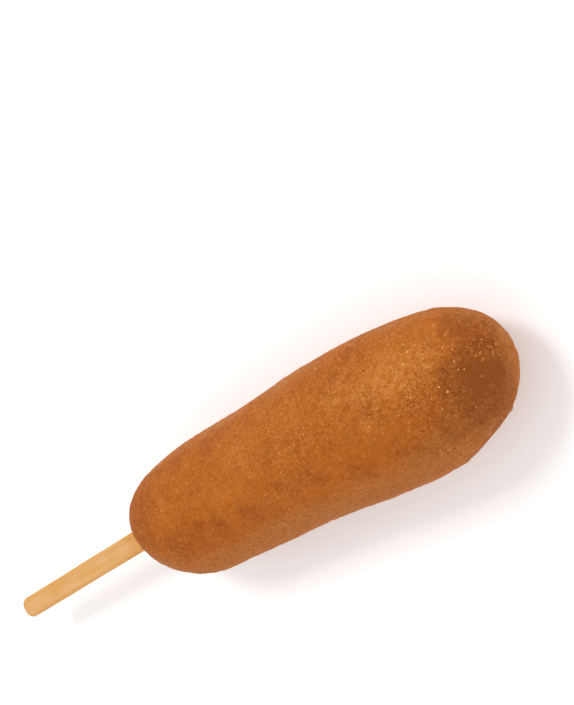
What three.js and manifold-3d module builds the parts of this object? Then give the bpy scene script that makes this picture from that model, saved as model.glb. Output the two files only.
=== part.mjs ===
// A corn dog lying on its side: a sausage in a fried cornmeal batter coat, on a flat wooden stick.
// Millimetres, +Z up. The origin lies on the resting surface, under the middle of the batter.
// +X runs from the stick end to the tip. Angles round the batter start at +Y, and 90 degrees is the top.
import * as THREE from "three";
import { mergeVertices } from "three/addons/utils/BufferGeometryUtils.js";
import Module from "manifold-3d";

// ---- Batter: a long rounded body, a little thicker towards the tip ----
const BATTER_LENGTH = 121.5;
const STICK_END_RADIUS = 17.4;
const TIP_END_RADIUS = 18.7;
const TAPER_FROM_X = -45;
const TAPER_TO_X = 42;
const STICK_END_DOME = { length: 26.7, fullness: 2.18 };
const TIP_END_DOME = { length: 33.7, fullness: 2.11 };

// The centre line bows gently towards +Y at both ends.
const BOW_UNIT = 60;
const BOW = { square: 0.47, cube: -0.37, fourth: 1.18 };

// Broad swells and hollows where the batter ran thick or thin.
const SWELLS = [
  { x: -5.5, angle: 180, reachX: 13.2, reachAngle: 60, height: -0.69 },
  { x: 38.2, angle: 180, reachX: 19.9, reachAngle: 60, height: 0.95 },
  { x: -45.7, angle: 180, reachX: 8.6, reachAngle: 60, height: 0.81 },
  { x: 13.1, angle: 0, reachX: 21.9, reachAngle: 60, height: 0.98 },
  { x: 37.5, angle: 0, reachX: 11.4, reachAngle: 60, height: -0.53 },
  { x: 52.7, angle: 0, reachX: 11, reachAngle: 60, height: 0.64 },
  { x: -45.7, angle: 0, reachX: 11.5, reachAngle: 60, height: -1.04 },
];

// How much of the full radius is there before the swells and the mounds have their whole height.
const SWELL_SHARE = 0.43;
const MOUND_SHARE = 0.25;

// A flat on the side of the tip, square to a direction given by its yaw and pitch.
const TIP_FLAT = { yaw: -67.3, pitch: -9, distance: 31.95, softness: 0.3 };

// Small crags that stand out from the crust.
const CRAGS = [
  { x: 3.7, angle: 4, reach: 1.6, height: 0.35 },
  { x: 48.6, angle: 2, reach: 1.5, height: 0.3 },
  { x: -27.3, angle: 14, reach: 1.5, height: 0.25 },
  { x: 53.7, angle: 192, reach: 1.8, height: 0.5 },
  { x: 55.4, angle: 184, reach: 1.4, height: 0.3 },
  { x: -36, angle: 236, reach: 1.7, height: 0.35 },
  { x: 20, angle: 318, reach: 1.6, height: 0.35 },
];

// Low mounds and dimples all over the crust, drawn from a seeded rule.
const MOUND_SEED = 31;
const MOUND_COUNT = 150;
const MOUND_REACH = { least: 2.8, most: 6 };
const MOUND_HEIGHT = 0.16;
const DRAWS_PER_MOUND = 4;

// ---- Resting flat: the strip that the batter lies on ----
const REST_DEPTH = 0.55;
const CUTTER_SIZE = 400;

// ---- Mesh of the batter ----
const RINGS = 72;
const SIDES = 52;

// ---- Stick: flat, with rounded edges and rounded ends ----
const STICK_LENGTH = 140;
const STICK_WIDTH = 6;
const STICK_THICKNESS = 3.2;
const STICK_EDGE_ROUND = 0.7;
const STICK_EXPOSED = 57;
const STICK_ENTRY = new THREE.Vector3(-60.75, 0.42, 17);
const STICK_YAW = 2.9;
const STICK_PITCH = 1.3;
const SOCKET_GAP = 0.3;
const ROUND_STEPS = 10;
const EDGE_STEPS = 3;

const BATTER_COLOUR = 0xb0692c;
const WOOD_COLOUR = 0xe2b87c;

const { degToRad, clamp, lerp, smoothstep } = THREE.MathUtils;

// A repeatable list of random numbers from 0 to 1.
function seededDraws(seed, count) {
  return Array.from({ length: count }, (_, index) => {
    const wave = Math.sin((index + 1) * 127.1 + seed * 311.7) * 43758.5;
    return wave - Math.floor(wave);
  });
}

// The shorter way round between two angles, in degrees.
function turnBetween(a, b) {
  return Math.abs(((((a - b) % 360) + 540) % 360) - 180);
}

// How much of the full radius is left at a distance from one end, for a dome of that length and fullness.
function domeShare(distance, dome) {
  const inward = clamp(distance / dome.length, 0, 1);
  return (1 - (1 - inward) ** dome.fullness) ** (1 / dome.fullness);
}

function endShare(x) {
  const atStickEnd = domeShare(BATTER_LENGTH / 2 + x, STICK_END_DOME);
  const atTip = domeShare(BATTER_LENGTH / 2 - x, TIP_END_DOME);
  return Math.min(atStickEnd, atTip);
}

function barrelRadius(x) {
  return lerp(STICK_END_RADIUS, TIP_END_RADIUS, smoothstep(x, TAPER_FROM_X, TAPER_TO_X));
}

function bowOffset(x) {
  const t = x / BOW_UNIT;
  return BOW.square * t ** 2 + BOW.cube * t ** 3 + BOW.fourth * t ** 4;
}

function swellHeight(x, angle) {
  return SWELLS.reduce((sum, swell) => {
    const along = (x - swell.x) / swell.reachX;
    const around = turnBetween(angle, swell.angle) / swell.reachAngle;
    return sum + swell.height * Math.exp(-(along ** 2) - around ** 2);
  }, 0);
}

// A point on the batter, moved out along its radius by lift.
function batterPoint(x, angle, lift = 0) {
  const share = endShare(x);
  const swell = swellHeight(x, angle) * Math.min(share / SWELL_SHARE, 1);
  const radius = barrelRadius(x) * share + swell + lift;
  const y = bowOffset(x) + radius * Math.cos(degToRad(angle));
  const z = barrelRadius(x) - REST_DEPTH + radius * Math.sin(degToRad(angle));
  return new THREE.Vector3(x, y, z);
}

function makeMounds() {
  const mounds = CRAGS.map(({ x, angle, reach, height }) => {
    return { centre: batterPoint(x, angle), reach, height };
  });
  const draws = seededDraws(MOUND_SEED, MOUND_COUNT * DRAWS_PER_MOUND);
  for (let first = 0; first < draws.length; first += DRAWS_PER_MOUND) {
    const [along, around, wide, high] = draws.slice(first, first + DRAWS_PER_MOUND);
    const x = lerp(-BATTER_LENGTH / 2, BATTER_LENGTH / 2, along);
    const centre = batterPoint(x, 360 * around);
    const reach = lerp(MOUND_REACH.least, MOUND_REACH.most, wide);
    mounds.push({ centre, reach, height: lerp(-MOUND_HEIGHT, MOUND_HEIGHT, high) });
  }
  return mounds;
}

const mounds = makeMounds();

function moundHeight(point) {
  return mounds.reduce((sum, mound) => {
    const away = point.distanceTo(mound.centre) / mound.reach;
    return sum + mound.height * Math.exp(-(away ** 2));
  }, 0);
}

// Presses a point back to the flat on the tip, with a soft edge.
function pressFlat(point) {
  const { yaw, pitch, distance, softness } = TIP_FLAT;
  const normal = new THREE.Vector3(1, 0, 0);
  normal.applyEuler(new THREE.Euler(0, -degToRad(pitch), degToRad(yaw), "ZYX"));
  const centre = new THREE.Vector3(0, 0, STICK_END_RADIUS);
  const over = point.clone().sub(centre).dot(normal) - distance;
  const press = (over + Math.hypot(over, softness)) / 2;
  return point.addScaledVector(normal, -press);
}

function crustPoint(x, angle) {
  const share = Math.min(endShare(x) / MOUND_SHARE, 1);
  const lift = moundHeight(batterPoint(x, angle)) * share;
  return pressFlat(batterPoint(x, angle, lift));
}

function batterGeometry() {
  const points = [crustPoint(-BATTER_LENGTH / 2, 0)];
  for (let ring = 1; ring < RINGS; ring += 1) {
    const x = (-BATTER_LENGTH / 2) * Math.cos((Math.PI * ring) / RINGS);
    for (let side = 0; side < SIDES; side += 1) {
      points.push(crustPoint(x, (360 * side) / SIDES));
    }
  }
  const tip = points.push(crustPoint(BATTER_LENGTH / 2, 0)) - 1;
  const faces = [];
  for (let side = 0; side < SIDES; side += 1) {
    const next = (side + 1) % SIDES;
    faces.push(0, 1 + next, 1 + side);
    for (let low = 1; low + SIDES < tip; low += SIDES) {
      const high = low + SIDES;
      faces.push(low + side, low + next, high + next);
      faces.push(low + side, high + next, high + side);
    }
    faces.push(tip, tip - SIDES + side, tip - SIDES + next);
  }
  const geometry = new THREE.BufferGeometry().setFromPoints(points);
  return geometry.setIndex(faces);
}

// A flat bar along X with its outer end at fromX: rounded ends in plan, and rounded edges all round.
function barGeometry(fromX, length, width, thickness, edgeRound) {
  const inset = width / 2 - edgeRound;
  const outline = new THREE.Shape();
  outline.absarc(fromX + length - width / 2, 0, inset, -Math.PI / 2, Math.PI / 2, false);
  outline.absarc(fromX + width / 2, 0, inset, Math.PI / 2, (3 * Math.PI) / 2, false);
  const bar = new THREE.ExtrudeGeometry(outline, {
    depth: thickness - 2 * edgeRound,
    bevelEnabled: true,
    bevelThickness: edgeRound,
    bevelSize: edgeRound,
    bevelSegments: EDGE_STEPS,
    curveSegments: ROUND_STEPS,
  });
  return bar.translate(0, 0, edgeRound - thickness / 2);
}

function toSolid(wasm, geometry) {
  const bare = geometry.clone();
  bare.deleteAttribute("normal");
  bare.deleteAttribute("uv");
  const merged = mergeVertices(bare, 1e-4);
  const vertProperties = new Float32Array(merged.attributes.position.array);
  const triVerts = new Uint32Array(merged.index.array);
  return new wasm.Manifold(new wasm.Mesh({ numProp: 3, vertProperties, triVerts }));
}

function toGeometry(solid) {
  const { vertProperties, triVerts } = solid.getMesh();
  const geometry = new THREE.BufferGeometry();
  geometry.setAttribute("position", new THREE.BufferAttribute(vertProperties, 3));
  return geometry.setIndex(new THREE.BufferAttribute(triVerts, 1));
}

function makeStick() {
  const outerEnd = -STICK_EXPOSED;
  const bar = barGeometry(outerEnd, STICK_LENGTH, STICK_WIDTH, STICK_THICKNESS, STICK_EDGE_ROUND);
  const wood = new THREE.MeshStandardMaterial({ color: WOOD_COLOUR, roughness: 0.7, metalness: 0 });
  const stick = new THREE.Mesh(bar, wood);
  stick.name = "stick";
  stick.position.copy(STICK_ENTRY);
  stick.rotation.set(0, -degToRad(STICK_PITCH), degToRad(STICK_YAW), "ZYX");
  stick.updateMatrixWorld();
  return stick;
}

// The hollow that the stick fills, with the same gap on every side.
function socketGeometry(stick) {
  const outerEnd = -STICK_EXPOSED - SOCKET_GAP;
  const length = STICK_LENGTH + 2 * SOCKET_GAP;
  const width = STICK_WIDTH + 2 * SOCKET_GAP;
  const thickness = STICK_THICKNESS + 2 * SOCKET_GAP;
  const socket = barGeometry(outerEnd, length, width, thickness, STICK_EDGE_ROUND + SOCKET_GAP);
  return socket.applyMatrix4(stick.matrixWorld);
}

async function makeBatter(stick) {
  const wasm = await Module();
  wasm.setup();
  const surface = new THREE.BoxGeometry(CUTTER_SIZE, CUTTER_SIZE, CUTTER_SIZE);
  surface.translate(0, 0, -CUTTER_SIZE / 2);
  const solid = toSolid(wasm, batterGeometry())
    .subtract(toSolid(wasm, surface))
    .subtract(toSolid(wasm, socketGeometry(stick)));
  const crust = new THREE.MeshStandardMaterial({ color: BATTER_COLOUR, roughness: 0.6, metalness: 0 });
  const batter = new THREE.Mesh(toGeometry(solid), crust);
  batter.name = "batter";
  return batter;
}

const stick = makeStick();
const batter = await makeBatter(stick);
const group = new THREE.Group();
group.add(batter, stick);

export default group;
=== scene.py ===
"""A corn dog: a fried cornmeal batter body on a flat wooden stick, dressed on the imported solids.

Lengths in the named values are millimetres in the row frame, and MM turns them into Blender's metres.
+X runs from the stick end to the tip, and +Z is up. Colours are display values of 0 to 255.
"""

import math

import bmesh
import bpy
import numpy as np
from mathutils import Matrix, Quaternion, Vector, noise
from mathutils.bvhtree import BVHTree
from mathutils.kdtree import KDTree


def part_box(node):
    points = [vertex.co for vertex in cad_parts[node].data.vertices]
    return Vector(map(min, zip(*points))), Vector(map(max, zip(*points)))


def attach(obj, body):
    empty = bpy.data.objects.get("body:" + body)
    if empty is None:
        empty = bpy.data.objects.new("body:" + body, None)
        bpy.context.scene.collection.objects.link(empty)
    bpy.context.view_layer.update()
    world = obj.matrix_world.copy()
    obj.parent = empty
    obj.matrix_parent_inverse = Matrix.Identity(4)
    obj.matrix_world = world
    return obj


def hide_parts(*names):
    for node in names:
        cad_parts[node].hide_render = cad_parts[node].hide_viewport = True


MM = 0.001

# ---- Camera: looks down on the corn dog from beyond its tip ----
CAMERA_PLACE = (199.66, 0.01, 302.49)
CAMERA_AZIMUTH = 82.841
CAMERA_ELEVATION = 55.727
CAMERA_ROLL = -111.62
FOCAL_LENGTH = 72.1
SENSOR_SIZE = 36.0
NEAREST_SEEN = 10
FARTHEST_SEEN = 10000

# ---- Noise over the crust: size of its features, octaves and shift ----
WANDER = (3.2, 3, 11.0)
SPECKLE = (1.6, 2, 21.0)
CLOUDS = (7.0, 2, 4.0)
SMALL_CLOUDS = (3.0, 2, 9.0)
FAR_BREAKS = (9.0, 2, 44.0)
SWELLS = (7.5, 2, 0.0)
RIPPLES = (1.9, 3, 30.0)
GRIT = (0.85, 2, 60.0)
GRAIN_CLUSTERS = (5.0, 2, 80.0)

# ---- Crust: its mesh and its relief ----
CRUST_SEED = 7
CRUST_VOXEL = 0.43
EVEN_FACTOR = 0.5
EVEN_PASSES = 34
WELD_REACH = 0.001
# The outside has no edge as sharp as this many degrees, and the socket's mouth has.
SHARP_EDGE = 40.0

SWELL_HEIGHT = 0.10
RIPPLE_HEIGHT = 0.10
GRIT_HEIGHT = 0.07
PITS = {"count": 300, "radius": (0.4, 0.7), "height": (-0.12, -0.04)}
PIMPLES = {"count": 520, "radius": (0.45, 0.8), "height": (0.04, 0.11)}
# A spot of relief ends at this many radii.
SPOT_END = 2.2
# The relief grows between these heights, so that the strip it rests on stays flat.
FLAT_FADE = (0.25, 1.5)

# Small crags and a dent on the outline: place, radius and height.
CRAGS = [
    (3.7, 18.8, 19.5, 1, 0.15), (48.6, 15.8, 18.5, 0.9, 0.12), (-27.3, 17, 21.8, 0.9, 0.25),
    (52.8, -12.1, 15.6, 1.1, 0.3), (51.2, -13.4, 16.8, 1.2, 0.25), (53.6, -11.1, 14.6, 0.9, -0.3),
    (37.4, -18.6, 17.6, 1.6, 0.2),
]

# The collar of batter that climbs the stick.
COLLAR_HEIGHT = 1.2
COLLAR_REACH = 1.5
COLLAR_LENGTH = 4.0
COLLAR_UNEVEN = 0.7

# ---- Crust: where it is dark, bare and mealy, and where painted shade, reflection, sheen and highlight lie ----
# The dark zone on the tip, browned crust, and along the rim beside it, where low on the -Y side it is partly
# painted shade: centre, reach and strength.
DARK = [
    ((55.2, -4.6, 26.2), (9.9, 12.2, 10.8), 1), ((52, -0.8, 31.1), (3.5, 5.2, 3.8), 1),
    ((56.1, 3.3, 27.9), (3.6, 3.7, 3.4), 1), ((59.4, 3.2, 23.4), (2.6, 3.6, 2.8), 0.85),
    ((46.6, -9.6, 30.2), (4.9, 5.8, 4.8), 0.6), ((39.4, -12.2, 31), (3.4, 3.2, 3), 0.25),
    ((59.6, 6.7, 19.5), (2.2, 2.6, 3), 0.55), ((53.8, -11.1, 20), (3.5, 3.2, 4.2), 0.85),
    ((47.5, -14.3, 23), (4.5, 3.5, 4.5), 0.4), ((56.2, -9.2, 17.4), (3.6, 3, 3.4), 0.6),
    ((50.6, -13.9, 18.6), (3.4, 2.8, 3), 0.8), ((46, -16, 19.6), (3.6, 2.6, 2.6), 0.55),
    ((41.6, -17.6, 20.2), (3.6, 2.4, 2.4), 0.45), ((55.6, 9.4, 23.6), (6.4, 5.4, 6.4), 0.62),
]
# Where in its reach it fades, and how much noise moves that edge.
DARK_FADE = (0.55, 1.2)
DARK_RAGGED = 0.16
# The very tip is darkened a little all round, partly browned and partly painted shade where it faces away
# from the light.
TIP_FADE = (55.0, 60.0)
TIP_DARK = 0.25

# Smooth bare places in the dark zone, where the outer crust came away: centre and reach.
PATCHES = [
    ((56.3, -2.3, 27.2), (3.6, 3.9, 3.4)), ((58.3, -3, 24.4), (2.6, 3.2, 3)),
    ((54.6, -4.4, 28.1), (2.4, 2.6, 2.2)), ((54.5, -0.6, 29.3), (2.3, 2.4, 2.2)),
    ((58.3, 4.2, 25), (1.7, 2.4, 2.4)), ((59.4, 2.6, 23.7), (1.6, 2, 2)),
]
PATCH_FADE = (0.6, 1.15)
PATCH_RAGGED = (0.34, 0.3)
PATCH_DEPTH = 0.1
# How much of the fine relief they lack.
PATCH_SMOOTHNESS = 0.85

# The side with a painted reflection of the pale floor, lighter and less saturated, by how far the surface
# faces it.
PALE_SIDE = (0.45, -0.85, -0.28)
PALE_FADE = (0.18, 0.42)
PALE_WANDER = 0.10
# Spots of painted sheen on the rims, which add to it: place, radius and strength.
RIM_SHEEN_SPOTS = [
    (60.4, 0.5, 18, 4.5, 0.8), (59.6, -4.5, 19, 3.5, 0.5), (57.4, -7.4, 20, 2.6, 0.4),
    (-51, -8.2, 27.6, 3.2, 0.85), (-46.8, -10.2, 29.2, 4, 0.6), (-39.6, -13.4, 28.6, 4, 0.45),
]

# A painted sheen: a pale band along +Y, the upper edge in the picture, where the surface leans upwards,
# broken up by noise. It stands in for the light that the rim catches at grazing angles.
FAR_SIDE = (-0.1, 0.99, 0.0)
FAR_FADE = (0.82, 0.96)
FAR_WANDER = 0.07
FAR_LEAN = (-0.1, 0.35)
FAR_LEAN_WANDER = 0.25
FAR_MIDDLE = 0.85
FAR_SWING = 0.9
FAR_LIMITS = (0.35, 1.1)
# More and, below nought, less painted sheen: place, radius and strength.
PAINTED_SHEEN_SPOTS = [
    (-51.6, -6.6, 28.2, 3, 0.5), (-49, -10.4, 27, 3.6, 0.75), (1.2, 17.4, 24.6, 4, 0.3),
    (24.6, 16, 28.4, 3.2, -0.6), (32.4, 17.4, 24.6, 3.5, -0.6), (46.4, 15.9, 21.6, 3.5, 0.45),
    (56.4, 11.4, 19.2, 2.6, 0.7), (60.6, 3, 17.2, 2, 0.8), (59.4, 6.2, 15.6, 2, 0.5),
]

# A painted highlight on the top, partly a frosting of pale meal: place, radius and strength.
MEAL_AND_HIGHLIGHT = [
    (47.1, 7.4, 32, 3.5, 0.7), (39, 6.2, 34.7, 5, 1), (31, 6, 35.2, 3.6, 0.35), (25.3, 8.6, 34.5, 3, 0.6),
    (29.9, -0.7, 36.7, 1.6, 0.5), (-9.4, 7.7, 33.5, 5, 0.45),
]
MEAL_AND_HIGHLIGHT_WANDER = 0.4

# Mealier and, below nought, smoother places: place, radius and strength.
MEALY = [
    (4, 6.1, 34.9, 7, 0.3), (11.5, 6.1, 35.3, 7, 0.3), (24.8, 8.9, 34.5, 8, 0.45), (35, 8, 34.6, 8, 0.45),
    (44, 6, 33.4, 8, 0.6), (50, 7, 31, 6, 0.3), (53.6, 2, 30.2, 4, 0.3), (26, -9, 33.6, 8, -0.25),
    (-20, -8, 32, 10, -0.25), (-37, 3.5, 33.5, 4.5, 0.2), (20, -10, 33, 16, -0.2), (-30, 12, 29, 9, -0.2),
    (-30, -8, 32, 9, -0.25), (-47, -10.5, 28.5, 4, 0.3),
]
MEALY_MIDDLE = 0.85
MEALY_WANDER = 0.25
MEALY_LIMITS = (0.45, 2.0)

# Browner and, below nought, more golden places: place, radius and strength.
TONES = [
    (-60, 3, 22, 14, 1.2), (-40.9, 13.1, 27.6, 5, 0.6), (-31, 12.9, 28.9, 5, 0.5),
    (-20, 13.3, 29.4, 5, 0.6), (-6.4, 12.3, 30.8, 4, 0.6), (16, 12.6, 32, 6, 0.6),
    (-32, -5.6, 33.2, 5, 0.6), (46.5, -7.2, 31.6, 4.5, 0.6), (47.4, -5.4, 32.2, 2.4, 0.9),
    (54.8, 2.9, 28.9, 2.2, 1), (46.1, -9, 31.1, 3.2, 1), (44.2, -11.4, 30.2, 3.2, 0.9),
    (40.4, -11.5, 31.4, 2.9, 1.1), (46.5, -13.9, 25.8, 3.2, 0.4), (48.9, 8.8, 30.5, 2.6, 1.4),
    (45.6, 9.6, 31.3, 2.2, 0.5), (25.2, 13.8, 30.8, 3.4, 1.1), (25.1, 10.4, 33.7, 2.4, 0.9),
    (-8.2, 3.9, 34.8, 3.2, 1), (44.2, 3.8, 34.2, 2.5, 1.2), (48, 5.7, 32.4, 2.4, 0.5),
    (49.1, -3.9, 32.1, 2.6, 0.6), (-40, 6, 32.8, 4, 0.5), (12.6, 11.6, 32.5, 2.4, -0.6),
    (32.7, -8.2, 34.8, 2.6, -0.6), (-23.4, 0.5, 34.6, 3, -0.8), (-26.5, 3.7, 34.2, 2.4, -0.4),
    (-6.4, -1, 35.3, 3, -0.8), (-13.7, -1.4, 34.9, 2.6, -0.5), (24.3, -6.6, 35.4, 3.2, -0.4),
    (-49.1, 3, 31.6, 4.2, 0.9), (-45.5, 8, 30.9, 3, 0.8), (-39.1, -5.1, 33.3, 3, 1),
    (-30.4, -3.5, 34.1, 2.4, 0.5), (-25.5, 6.7, 33.3, 2.4, 0.7), (-22.8, -4.9, 34, 2.8, 0.75),
    (-13.7, -6, 33.9, 3.4, 1.05), (1, 5.2, 35, 2.2, 0.8), (1, -4.7, 35, 2, 0.6),
    (9.6, -5.5, 35.2, 3, 0.9), (11, 3.4, 35.9, 2.4, 0.9), (13.1, 14.7, 29.9, 2, 0.7),
    (22.8, -7.6, 35, 2.7, 0.9), (24.8, 4.9, 36, 2.2, 0.7), (29.4, 16, 28, 3.2, 1.3),
    (33, 3.5, 36.2, 3.2, 1.2), (33.9, -9.4, 34.1, 2.6, 0.8), (41.6, -1.2, 35.2, 3, 1.4),
    (-37.6, 4, 33.8, 4, -0.7), (-17.4, 2.2, 34.7, 4.6, -1), (-6, 8, 33.6, 4, -0.5),
    (7.2, 11.9, 32, 4.5, -0.5), (22, 9.3, 34.3, 4.8, -0.7), (29.7, -1.2, 36.7, 2.6, -0.8),
    # The golden spots at (38.2, 5.8, 35) and (43.7, 7.6, 33) are a painted highlight.
    (38.2, 5.8, 35, 3.5, -0.5), (43.7, 7.6, 33, 7, -0.65), (-56.5, -1.4, 26.7, 3, 0.5),
    (6.4, 12.4, 31.6, 2.6, 0.5), (38.7, 6.8, 34.6, 2.6, -0.9), (50.4, 2.9, 32, 1.8, -0.4),
    (13.4, 10.1, 33.6, 2.4, -0.4), (21, -17.2, 25.6, 3, -0.4), (-32.2, 5.5, 33.6, 2.6, -0.3),
    (36.8, -12.8, 31.3, 2.8, 1.1), (38.5, 3.4, 35.6, 2.4, 0.4), (28, 3, 36.5, 2.4, 0.5),
    (-18.4, 16.7, 23.4, 3, -0.5), (18, -4.6, 35.9, 2.4, -0.4), (11, 8, 34.5, 3, -0.5),
    (36, -6, 35.4, 4, 0.4), (18.7, 6, 35.6, 3, 0.5), (24, 12.4, 32.4, 3, 0.5),
    (50.7, 11.2, 27.6, 3.4, -0.7),
]
TONES_STRENGTH = 1.2
# How far noise moves them along X and Y.
TONES_RAGGED = (3.5, 3.0)
CLOUDS_STRENGTHS = (0.7, 0.4)
TONE_LIMIT = 1.4

# ---- Cornmeal grains, crumbs and specks ----
# Nothing is strewn on the crust below this height.
LOWEST_PLACE = 1.5
# A pebble: its least and most stretch along its axes, and how uneven its points are. It sinks in by a
# share of its radius.
PEBBLE_STRETCH = ((0.8, 0.8, 0.8), (1.5, 1.1, 1.1))
PEBBLE_UNEVEN = (0.82, 1.15)

GRAINS = {"count": 6500, "radius": (0.07, 0.24)}
GRAIN_SMALLNESS = 3
GRAIN_SHAPE = {"squash": 0.8, "sink": 0.45}
# The chance of a grain: middle and limits in clusters and mealy places, and the loss in bare and dark ones.
CLUSTERS_CHANCE = (0.5, 0.05, 1.2)
MEALY_CHANCE = (0.85, 0.3, 2.0)
BARE_LOSS = 0.97
DARK_LOSS = 0.5

# Large single grains.
BIG_GRAINS = [
    (53.3, 1.1, 30.4), (54.4, 0.5, 29.7), (48.6, -0.3, 33), (53.3, 3.1, 30.2), (49.6, -2.1, 32.3),
    (46.8, -4.8, 32.9), (42.7, -2.1, 34.9), (50.8, 12.3, 26.1), (43.3, 7.7, 33.1), (44.8, 9.7, 31.5),
    (42.3, 0.5, 35.1),
]
BIG_GRAIN_RADIUS = (0.2, 0.3)
BIG_GRAIN_SHAPE = {"squash": 0.7, "sink": 0.3}

# A flake: points along and across it, and the length up to which it grows wider.
FLAKE_POINTS = (7, 5)
FLAKE_WIDEST = 1.2
FLAKE_BELLY = 0.12
FLAKE_SINK = 0.02

# Golden flakes, all but the last on the tip, each from one end to the other.
FLAKES = [
    ((57.5, 5.2, 25.8), (57.9, 5.6, 25.1)), ((58.5, 4.9, 24.5), (59.1, 4.2, 23.8)),
    ((58.3, 4.2, 25.1), (58, 3.1, 25.9)), ((59, 3, 24.3), (59.8, 1.7, 23.1)),
    ((57.6, 1.8, 26.6), (58.1, 2.4, 25.9)), ((58.3, 1.1, 25.7), (59.1, 1.6, 24.4)),
    ((59.7, 1.6, 23.3), (59.3, 0.4, 24.1)), ((59.8, 1.1, 23), (59.8, 0.4, 23)),
    ((59.8, -0.1, 22.8), (60, -0.5, 22.3)), ((56.8, 2, 27.5), (57.4, 1.9, 26.8)),
    ((57.5, 0.2, 26.7), (58.2, 1, 25.9)), ((59, 7.9, 17.9), (59.4, 7.2, 18.8)),
    ((59.2, 6.8, 21.3), (59.6, 6, 21)), ((58.8, 7.6, 21.2), (58.9, 7, 21.9)),
    ((59.5, 7.1, 18), (59.8, 6.4, 18.5)), ((59.7, 5.8, 20.7), (59.7, 5.2, 21.7)),
    ((59.8, -0.7, 22.7), (59.7, -1.3, 22.6)), ((57.1, 5.1, 26.3), (57.1, 4.5, 26.5)),
    ((60.1, 2.6, 22.1), (60.3, 2, 21.6)), ((27.2, 18.1, 24.2), (28.1, 18.1, 23.8)),
]
FLAKE_STRETCH = 1.1
FLAKE_TONE_POWER = 1.4
# Dull slivers that lie on the smooth bare places, each from one end to the other.
SLIVERS = [
    ((55.7, -2.4, 28), (56.6, -2.7, 27)), ((55.1, -1.7, 28.8), (55, -2.3, 28.8)),
    ((55.6, -1.4, 28.4), (55.8, -1.9, 28.1)), ((56.7, -3.8, 26.4), (56.7, -4.5, 26)),
    ((55.2, -4.4, 27.7), (55.3, -4.8, 27.4)), ((53.3, -6.6, 28), (53.6, -7.3, 27.3)),
    ((53.2, -5.8, 28.7), (53.2, -6.5, 28.2)), ((53.1, -1.8, 30.3), (53.7, -2.5, 29.7)),
    ((57.9, -2.9, 25.2), (57.7, -3.7, 25.1)), ((53.2, -3.6, 29.7), (53.2, -4.4, 29.4)),
]
SLIVER_WIDTH = 0.55
SLIVER_TONE = -0.5
# Small crumbs strewn round the flakes.
CRUMBS = {"count": 34, "length": (0.3, 0.8), "tone": (0.0, 0.6), "sink": 0.03}
CRUMB_CENTRE = (58.9, 4.0, 23.5)
CRUMB_SPREAD = (1.6, 2.6, 2.4)

# Dark specks on the crust and on the stick's edges near the batter.
SPECKS = {"count": 60, "radius": (0.08, 0.2)}
SPECK_SHAPE = {"squash": 0.6, "sink": 0.2}
STICK_SPECKS = {"count": 44, "radius": (0.07, 0.17), "tone": 1.2, "along": (1.0, 10.0), "across": (0.5, 1.0)}
# They lie closer together near the batter.
STICK_SPECK_CROWDING = 1.5
# One larger dark speck, from one end to the other.
LONE_SPECK = ((33.2, 10.9, 33.1), (34.0, 10.5, 33.1))
LONE_SPECK_SINK = 0.1

# ---- Stick ----
STICK_HALF_RINGS = 210
STICK_END_RINGS = 24
STICK_SIDES = 48
STICK_CORNER = 0.7
SECTION_STEPS = 24
# At the rounded ends: the least share of the width, and of the thickness with its growth.
STICK_END_WIDTH = 0.02
STICK_END_THICKNESS = (0.55, 0.45)
# The grain drawn out along X, and the slow waves of the two edges.
WOOD_GRAIN_STRETCH = (0.04, 1.0, 1.0)
WOOD_GRAIN_FINENESS = 1.7
WOOD_GRAIN_HEIGHT = 0.01
WAVE_FINENESS = 0.09
WAVE_HEIGHT = 0.05
# Where the colours of the edges and of the soaked-in fat start and are full.
STICK_EDGE_FADE = (0.45, 0.95)
STICK_GREASE = (11.0, 3.0)

# ---- Colours of the crust ----
CRUST_GOLDEN = (185, 101, 31)
CRUST_BROWN = (154, 77, 22)
# A round spot: its least size and range, the share that is full, and its least strength and range.
SPOT_SIZES = (0.55, 0.6)
SPOT_CORE = 0.35
SPOT_STRENGTHS = (0.3, 0.7)

# Colours laid over each other in this order: masks to multiply, strength and colour.
CRUST_LAYERS = [
    ("dark", 0.94, (134, 67, 25)),
    # Painted reflection of the floor on the lower side, and painted sheen on the rims.
    ("pale", 0.6, (178, 107, 52)),
    # Painted sheen on the far rim.
    ("far", 0.7, (172, 110, 58)),
    ("mottle dark", 0.4, (166, 97, 48)),
    ("curds dark", 0.3, (176, 108, 60)),
    # A painted highlight, partly pale meal.
    ("broken_meal_and_highlight", 0.36, (226, 144, 62)),
    ("mottle mealy", 0.38, (212, 131, 56)),
    ("curds mealy", 0.37, (214, 138, 68)),
    ("pores porous", 0.55, (143, 63, 12)),
    ("streaks pale", 0.42, (200, 132, 80)),
    # Greyish speckles in the painted sheen.
    ("lilac far", 0.4, (184, 130, 88)),
    ("dots pale", 0.6, (122, 62, 18)),
    ("clumps frosted", 0.6, (220, 150, 76)),
    ("veins frosted", 0.45, (158, 76, 16)),
]
# The bare places, over them: strength, two colours, and where noise turns one into the other.
BARE_STRENGTH = 0.94
BARE_COLOURS = ((139, 72, 28), (149, 79, 32))
BARE_EDGES = (-0.15, 0.15)
# Meal, painted glints and burnt spots, over all: as above.
MEAL_LAYERS = [
    ("meal mealy", 0.43, (232, 153, 84)),
    ("glints mealy", 0.8, (252, 190, 118)),
    ("burnt mealy", 0.5, (116, 48, 4)),
]
# How high each mask stands in the bump, and the bump's full height.
CRUST_BUMPS = {"meal": 0.5, "glints": 0.8, "mottle": 0.6, "curds": 0.4, "pores": -0.15}
CRUST_BUMP = 0.12
# Roughness of crust and of meal, and how much smoother the bare places are.
CRUST_ROUGHNESS = (0.66, 0.4)
PATCH_GLOSS = -0.16

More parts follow.
